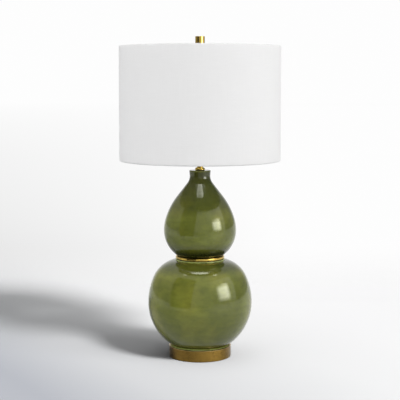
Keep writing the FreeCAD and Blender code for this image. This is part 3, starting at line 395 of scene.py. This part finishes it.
# Fabric shade ---------------------------------------------------------------------------------------------
FABRIC = 0.6 * MM  # thickness
LINER = 0.6 * MM  # thickness
RING_WIRE = 2.0 * MM  # radius
BEND = 0.9 * RING_WIRE  # radius of the cloth's inner face where it goes round a ring wire
HEM_DEPTH = 10.0 * MM
HEM_ROWS = 4
RIM_STEPS = 7
DRUM_ROWS = 42
STRIP_COLUMNS = 360
LAP = 12 * MM
LAP_COLUMNS = 5
LAP_RAMP = 5 * MM  # the stretch before the lap in which the cloth climbs onto its own start
RAMP_COLUMNS = 4
LAP_TURN = math.pi / 2  # the lap is at the lamp's back
LAYER = FABRIC + 0.05 * MM  # how far the lap stands out, clear of the cloth under it
ARM_TURNS = [math.radians(90 + 120 * i) for i in range(3)]
NOTCH_HALF = 2.6 * MM  # half of what is cut away for each arm


def mesh_object(name, vertices, faces):
    mesh = bpy.data.meshes.new(name)
    mesh.from_pydata(vertices, [], faces)
    mesh.validate()
    made = bpy.data.objects.new(name, mesh)
    bpy.context.scene.collection.objects.link(made)
    return made


def smooth(made):
    made.data.polygons.foreach_set("use_smooth", [True] * len(made.data.polygons))


def rim_arc(radius, z, turn_from, turn_to):
    """One bend of the cloth at a rim. Each point is (radius, height, outward radius, outward height)."""
    for i in range(RIM_STEPS + 1):
        turn = math.radians(turn_from + (turn_to - turn_from) * i / RIM_STEPS)
        r_out, z_out = math.cos(turn), math.sin(turn)
        yield radius + BEND * r_out, z + BEND * z_out, r_out, z_out


def strip_profile(low, high):
    """The cloth's inner face, from the turned-in top edge round the top wire, down the drum and round the
    bottom wire. Each point is (radius, height, outward radius, outward height)."""
    outside = SHADE_RADIUS - FABRIC
    wire_side = outside - LINER - 2 * RING_WIRE
    top, bottom = high - FABRIC - BEND, low + FABRIC + BEND
    turned_in = HEM_DEPTH - FABRIC - BEND
    points = [(wire_side, high - HEM_DEPTH + turned_in * i / HEM_ROWS, -1, 0) for i in range(HEM_ROWS)]
    points += rim_arc(wire_side + BEND, top, 180, 90)
    points += rim_arc(outside - BEND, top, 90, 0)
    points += [(outside, top + (bottom - top) * i / DRUM_ROWS, 1, 0) for i in range(1, DRUM_ROWS)]
    points += rim_arc(outside - BEND, bottom, 0, -90)
    points += rim_arc(wire_side + BEND, bottom, -90, -180)
    points += [(wire_side, bottom + turned_in * i / HEM_ROWS, -1, 0) for i in range(1, HEM_ROWS + 1)]
    return points


def notched(azimuth):
    """True where the turned-in cloth is cut away round a spider arm."""
    for arm in ARM_TURNS:
        off = (azimuth - arm + math.pi) % (2 * math.pi) - math.pi
        if abs(off) * SHADE_RADIUS < NOTCH_HALF:
            return True
    return False


def shade_strip():
    """One strip of cloth wound once round the drum with a lap at the back, both edges turned in."""
    low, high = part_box("shade_fabric")[0].z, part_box("shade_fabric")[1].z
    profile = strip_profile(low, high)
    lap, ramp = LAP / SHADE_RADIUS, LAP_RAMP / SHADE_RADIUS
    full = 2 * math.pi
    turns = [full * i / STRIP_COLUMNS for i in range(STRIP_COLUMNS)]
    turns = [turn for turn in turns if turn < full - ramp]
    turns += [full - ramp * (1 - i / RAMP_COLUMNS) for i in range(RAMP_COLUMNS)]
    turns += [full + lap * i / LAP_COLUMNS for i in range(LAP_COLUMNS + 1)]
    vertices, faces = [], []
    for turn in turns:
        lift = LAYER * max(0.0, min(1.0, (turn - full + ramp) / ramp))
        azimuth = LAP_TURN + turn
        for radius, z, r_out, z_out in profile:
            reach = radius + lift * r_out
            vertices.append((reach * math.cos(azimuth), reach * math.sin(azimuth), z + lift * z_out))
    rows = len(profile)
    for column in range(len(turns) - 1):
        azimuth = LAP_TURN + (turns[column] + turns[column + 1]) / 2
        for row in range(rows - 1):
            if row < HEM_ROWS + RIM_STEPS and notched(azimuth):
                continue
            first = column * rows + row
            faces.append((first, first + 1, first + rows + 1, first + rows))
    cover = mesh_object("shade_cover", vertices, faces)
    thick = cover.modifiers.new("cloth", "SOLIDIFY")
    thick.thickness = FABRIC
    thick.offset = 1.0
    smooth(cover)
    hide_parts("shade_fabric", "shade_top_hem", "shade_bottom_hem")
    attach(cover, "shade")
    cover.data.materials.append(FINISHES["white_fabric"])


FELT_SEGMENTS = 160
FELT_RINGS = 26
FELT_FLAT = 0.985  # share of the radius that the flat faces reach
FELT_ROUNDING = 0.5 * MM
FELT_ROUNDING_TURNS = (0.4, 0.9, 1.4)  # radians, from the flat face up to the side
FELT_WAVES = ((0.0016, 11, 0), (0.0011, 23, 1))  # share of the radius, waves round the edge, phase
FELT_EDGE_POWER = 8  # keeps the waves to the edge


def felt_profile(radius, low, high):
    """Half the pad's section, from the middle of its underside round its edge to the middle on top."""
    flat = [radius * i / FELT_RINGS * FELT_FLAT for i in range(FELT_RINGS + 1)]
    edge = [(radius - FELT_ROUNDING * (1 - math.sin(turn)), FELT_ROUNDING * (1 - math.cos(turn)))
            for turn in FELT_ROUNDING_TURNS]
    points = [(reach, low) for reach in flat] + [(reach, low + lift) for reach, lift in edge]
    points += [(reach, high - lift) for reach, lift in reversed(edge)]
    return points + [(reach, high) for reach in reversed(flat)]


def felt_disc():
    """The pad under the base: a soft disc with a rounded, slightly uneven edge."""
    lo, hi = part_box("felt_pad")
    radius = hi.x
    profile = felt_profile(radius, lo.z, hi.z)
    vertices, faces = [(0, 0, lo.z)], []
    for reach, z in profile[1:-1]:
        at_edge = (reach / radius) ** FELT_EDGE_POWER
        for s in range(FELT_SEGMENTS):
            turn = 2 * math.pi * s / FELT_SEGMENTS
            waves = sum(size * (math.sin(count * turn + phase) - 1) for size, count, phase in FELT_WAVES)
            uneven = reach * (1 + waves * at_edge)
            vertices.append((uneven * math.cos(turn), uneven * math.sin(turn), z))
    vertices.append((0, 0, hi.z))
    rows = len(profile) - 2
    last = 1 + (rows - 1) * FELT_SEGMENTS
    for s in range(FELT_SEGMENTS):
        beside = (s + 1) % FELT_SEGMENTS
        faces.append((0, 1 + beside, 1 + s))
        for row in range(rows - 1):
            below = 1 + row * FELT_SEGMENTS
            above = below + FELT_SEGMENTS
            faces.append((below + s, below + beside, above + beside, above + s))
        faces.append((last + s, last + beside, len(vertices) - 1))
    pad = mesh_object("felt_base_pad", vertices, faces)
    smooth(pad)
    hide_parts("felt_pad")
    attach(pad, "lamp")
    pad.data.materials.append(FINISHES["felt"])


# Studio ---------------------------------------------------------------------------------------------------
AIM = Vector((0, 0, 0.30))  # what the lights and cards face
WATTS_PER_RADIANCE = 4  # for each square metre of an area lamp
FILLS = (
    # name, degrees to the camera's right, height and distance, panel's width and height, radiance
    ("right_fill", 58, 1.10, 2.2, 2.6, 2.1, 1.52),
    ("left_fill", -60, 1.10, 2.2, 2.6, 2.1, 1.24),
)
CARDS = (
    # name, degrees to the camera's right, height and distance, card's width and height, radiance, soft share
    ("right_softbox", 56, 0.72, 1.9, 1.22, 1.00, 9.5, 0.5),
    ("right_window", 58, 1.20, 2.3, 3.0, 2.3, 1.2, 0.12),
    ("left_flag", -42, 0.60, 1.0, 1.05, 1.40, 0.10, 0.12),
    ("overhead", 0, 2.4, 0.30, 2.5, 0.44, 7.0, 0.2),
    ("overhead_lamp", 0, 2.2, 0.62, 0.95, 0.18, 6.4, 0.3),
)
CARD_DIM, CARD_BRIGHT = 0.4, 1.6  # a card's lower left and upper right corner, as shares of its radiance
WORLD_SIDES = (0.36, 0.36, 0.365)
WORLD_FRONT = (0.80, 0.80, 0.805)
WORLD_BEHIND = (0.985, 0.985, 0.985)
WORLD_TOP = (0.95, 0.95, 0.95)
FLOOR_SUNS = (
    # name, degrees to the camera's right, degrees up, degrees across, strength
    ("floor_sun", 42, 38, 14, 22.4),
    ("floor_side", 64, 25, 26, 6.8),
    ("floor_top", 0, 84, 60, 4.2),
)


def set_round(made, azimuth, height, distance):
    """Stands a light or card off the lamp, facing it, at an azimuth in degrees to the camera's right."""
    turn = math.radians(azimuth)
    made.location = (math.sin(turn) * distance, -math.cos(turn) * distance, height)
    made.rotation_euler = (made.location - AIM).to_track_quat("Z", "Y").to_euler()


def fill_panel(name, azimuth, height, distance, wide, tall, radiance):
    """A large soft light with no reflection of its own."""
    lamp = bpy.data.lights.new(name, "AREA")
    lamp.shape = "RECTANGLE"
    lamp.size, lamp.size_y = wide, tall
    lamp.energy = WATTS_PER_RADIANCE * wide * tall * radiance
    made = bpy.data.objects.new(name, lamp)
    set_round(made, azimuth, height, distance)
    bpy.context.scene.collection.objects.link(made)
    made.visible_glossy = False


def reflection_card(name, azimuth, height, distance, wide, tall, radiance, fade):
    """A card with soft edges, brighter to its upper right, that shows in glossy surfaces only."""
    x, y = wide / 2, tall / 2
    card = mesh_object(name, [(-x, -y, 0), (x, -y, 0), (x, y, 0), (-x, y, 0)], [(0, 1, 2, 3)])
    set_round(card, azimuth, height, distance)
    g = surface(name)
    across, up = g.parts(g.place)[:2]
    corner_to_corner = g.math("ADD", g.math("DIVIDE", across, x), g.math("DIVIDE", up, y))
    strength = g.spread(corner_to_corner, -2, 2, radiance * CARD_DIM, radiance * CARD_BRIGHT)
    solid = g.math("MULTIPLY", g.spread(g.math("ABSOLUTE", across), x, x * (1 - fade)),
                   g.spread(g.math("ABSOLUTE", up), y, y * (1 - fade)))
    glow = g.add("ShaderNodeEmission", {"Color": (1.0, 1.0, 1.0), "Strength": strength}).outputs[0]
    clear = g.add("ShaderNodeBsdfTransparent").outputs[0]
    g.show(g.blend(solid, clear, glow))
    card.data.materials.append(g.owner)
    card.visible_camera = card.visible_diffuse = card.visible_shadow = card.visible_transmission = False


def floor_sun(ground, name, azimuth, elevation, spread, strength):
    """A light that draws the lamp's shadow on the floor, and lights nothing else."""
    sun = bpy.data.lights.new(name, "SUN")
    sun.energy = strength
    sun.angle = math.radians(spread)
    made = bpy.data.objects.new(name, sun)
    turn, rise = math.radians(azimuth), math.radians(elevation)
    back = Vector((math.sin(turn) * math.cos(rise), -math.cos(turn) * math.cos(rise), math.sin(rise)))
    made.rotation_euler = back.to_track_quat("Z", "Y").to_euler()
    bpy.context.scene.collection.objects.link(made)
    only_floor = bpy.data.collections.new(name + "_receiver")
    only_floor.objects.link(ground)
    made.light_linking.receiver_collection = only_floor


def studio_world():
    """Plain pale studio: white behind the lamp, pale in front of it and overhead, dimmer low at the sides."""
    world = bpy.data.worlds.new("studio")
    g = Graph(world, "Background", "Generated")
    y, z = g.parts(g.place)[1:]
    low = g.mix(g.spread(y, -0.30, -0.75), WORLD_SIDES, WORLD_FRONT)
    low = g.mix(g.spread(y, 0.78, 0.97), low, WORLD_BEHIND)
    g.shade(Color=g.mix(g.spread(z, 0.2, 0.8), low, WORLD_TOP))
    bpy.context.scene.world = world


FLOOR_PAINT = (
    # metres across the floor, paint: a painted shadow to the lamp's left where its shadow falls, pale
    # elsewhere
    (-1.3, (0.112, 0.1125, 0.113)), (-0.75, (0.066, 0.068, 0.073)), (-0.5, (0.060, 0.0622, 0.068)),
    (-0.25, (0.089, 0.090, 0.092)), (0.2, (0.112, 0.1125, 0.113)), (0.5, (0.118, 0.118, 0.1185)),
)
FLOOR_SLANT = 0.6  # metres that the paint's bands lean to the left for each metre back
FLOOR_FRONT = (0.052, 0.052, 0.053)  # paint on the camera's side, out of its view
FLOOR_FRONT_RUN = (-0.8, -2.0)  # metres behind the lamp, from FLOOR_PAINT to FLOOR_FRONT
WHITE_RUN = (0.6, 1.7)  # metres behind the lamp, from paint to white
WHITE_DIM_RUN = (6.0, 28.0)  # metres behind the lamp, from the white's full dimming to none
WHITE_LEAST, WHITE_MOST = 0.76, 0.985
FLOOR_RINGS = (0.066, 0.3, 2.0, 30.0)
FLOOR_SEGMENTS = 96
BOUNCE_LOST = 0.5  # share of the floor's light that the lamp doesn't get back


def floor_mesh():
    """Rings of faces round the lamp. The floor is open under the felt, which shows from below."""
    vertices, faces = [], []
    for ring, reach in enumerate(FLOOR_RINGS):
        for s in range(FLOOR_SEGMENTS):
            turn = 2 * math.pi * s / FLOOR_SEGMENTS
            vertices.append((reach * math.cos(turn), reach * math.sin(turn), 0))
            here = ring * FLOOR_SEGMENTS + s
            beside = ring * FLOOR_SEGMENTS + (s + 1) % FLOOR_SEGMENTS
            if ring:
                faces.append((here - FLOOR_SEGMENTS, here, beside, beside - FLOOR_SEGMENTS))
    return mesh_object("floor", vertices, faces)


def floor_white(g, x, y):
    """The white of the floor behind the lamp, a little dimmer near by and on the left."""
    slope = g.math("SUBTRACT", 0.07, g.math("MULTIPLY", x, 0.27))
    dimmer = g.math("DIVIDE", slope, g.math("MAXIMUM", y, 0.5))
    level = g.math("SUBTRACT", 0.98, g.math("MULTIPLY", dimmer, g.spread(y, *WHITE_DIM_RUN, 1.0, 0.0)))
    level = g.math("MAXIMUM", g.math("MINIMUM", level, WHITE_MOST), WHITE_LEAST)
    return g.add("ShaderNodeEmission", {"Color": (1.0, 1.0, 1.0), "Strength": level}).outputs[0]


def floor():
    """A pale floor that runs out to white behind the lamp, with a painted shadow to the lamp's left."""
    made = floor_mesh()
    g = surface("floor_paint", Roughness=0.9, Specular_IOR_Level=0.1)
    x, y = g.parts(g.place)[:2]
    left, right = FLOOR_PAINT[0][0], FLOOR_PAINT[-1][0]
    across = g.spread(g.math("ADD", x, g.math("MULTIPLY", y, FLOOR_SLANT)), left, right)
    paint = g.ramp(across, [((place - left) / (right - left), colour) for place, colour in FLOOR_PAINT])
    g.shade(Base_Color=g.mix(g.spread(y, *FLOOR_FRONT_RUN), paint, FLOOR_FRONT))
    path = g.add("ShaderNodeLightPath")
    seen = g.math("MAXIMUM", path.outputs["Is Camera Ray"], path.outputs["Is Glossy Ray"])
    seen = g.math("MAXIMUM", seen, path.outputs["Is Transmission Ray"])
    share = g.math("MULTIPLY", seen, g.spread(y, *WHITE_RUN, ease="SMOOTHSTEP"))
    above = g.blend(share, g.shader.outputs[0], floor_white(g, x, y))
    black = g.add("ShaderNodeBsdfDiffuse", {"Color": (0.0, 0.0, 0.0)}).outputs[0]
    above = g.blend(g.math("MULTIPLY", path.outputs["Is Diffuse Ray"], BOUNCE_LOST), above, black)
    clear = g.add("ShaderNodeBsdfTransparent").outputs[0]
    below = g.add("ShaderNodeNewGeometry").outputs["Backfacing"]
    g.show(g.blend(below, above, clear))
    made.data.materials.append(g.owner)
    return made


CAMERA_PLACE = (0, -2.400, 0.610)
CAMERA_DOWN = 4.71  # degrees
LENS_LENGTH = 97.8  # mm
LENS_SHIFT = -0.07


def camera():
    """The photograph's viewpoint: a small shift, and the rest of its framing by tilting down."""
    lens = bpy.data.cameras.new("camera")
    lens.sensor_width = 36.0
    lens.lens = LENS_LENGTH
    lens.shift_y = LENS_SHIFT
    made = bpy.data.objects.new("camera", lens)
    made.location = CAMERA_PLACE
    made.rotation_euler = (math.radians(90 - CAMERA_DOWN), 0, 0)
    bpy.context.scene.collection.objects.link(made)
    bpy.context.scene.camera = made


dress_cad_nodes()
shade_strip()
felt_disc()
for panel in FILLS:
    fill_panel(*panel)
for card in CARDS:
    reflection_card(*card)
studio_world()
ground = floor()
for sun in FLOOR_SUNS:
    floor_sun(ground, *sun)
camera()
bpy.context.scene.view_settings.view_transform = "Standard"
